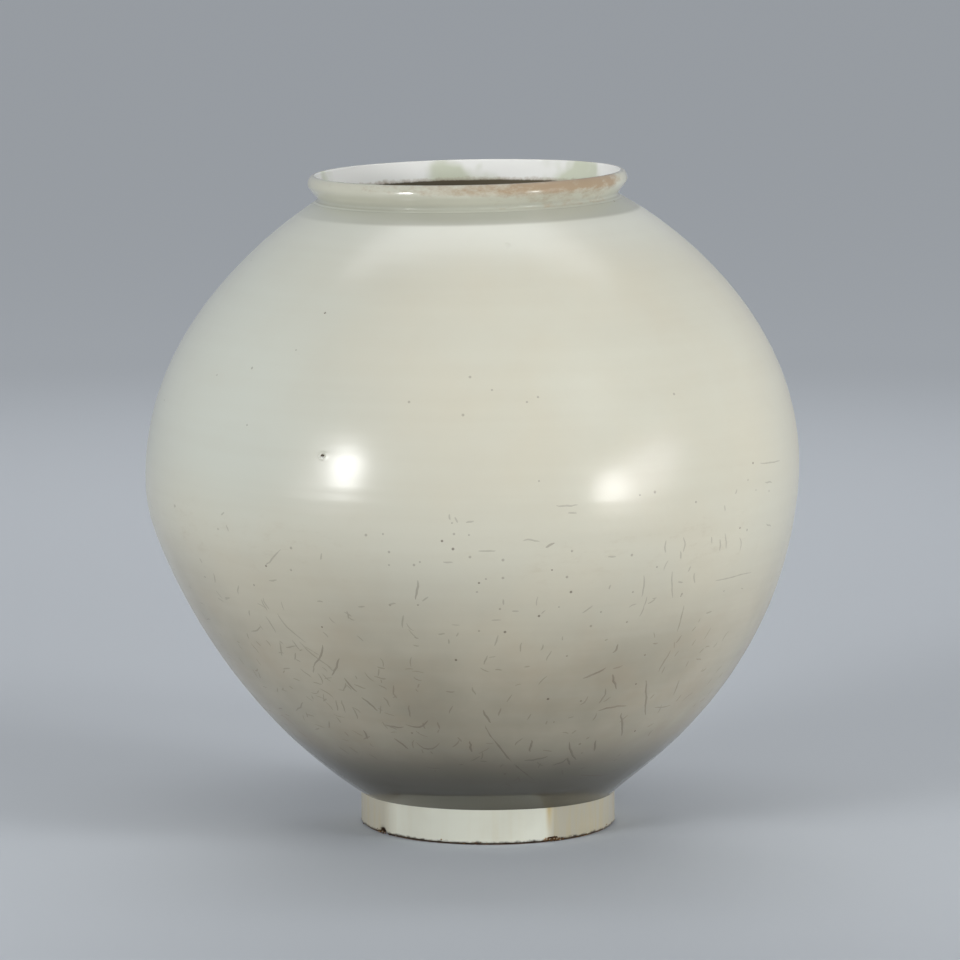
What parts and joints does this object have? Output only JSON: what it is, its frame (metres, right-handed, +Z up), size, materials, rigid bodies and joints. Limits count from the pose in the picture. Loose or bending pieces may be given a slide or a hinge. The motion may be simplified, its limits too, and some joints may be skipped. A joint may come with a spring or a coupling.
{
  "type": "moon jar",
  "caption": "Round white-glazed storage jar: two thrown bowls luted at the belly seam, on a low foot ring, with a short flared mouth rim; holds dry goods, liquid or branches",
  "frame": {"origin": "centre of the ring-shaped face that the foot rests on", "axes": "+Z up through the mouth; the jar leans towards -X, and the picture looks along +Y"},
  "size_m": [0.4495, 0.4494, 0.4527],
  "materials": {
    "glaze": "clear off-white glaze over white clay, glossy, finely cracked",
    "slip": "fired clay slip, matt"
  },
  "bodies": {
    "root": {"foot_ring": "glaze", "foot_slip": "slip", "lower_bowl": "glaze", "belly_slip": "slip", "upper_bowl": "glaze", "neck_slip": "slip", "mouth_rim": "glaze"}
  },
  "joints": []
}
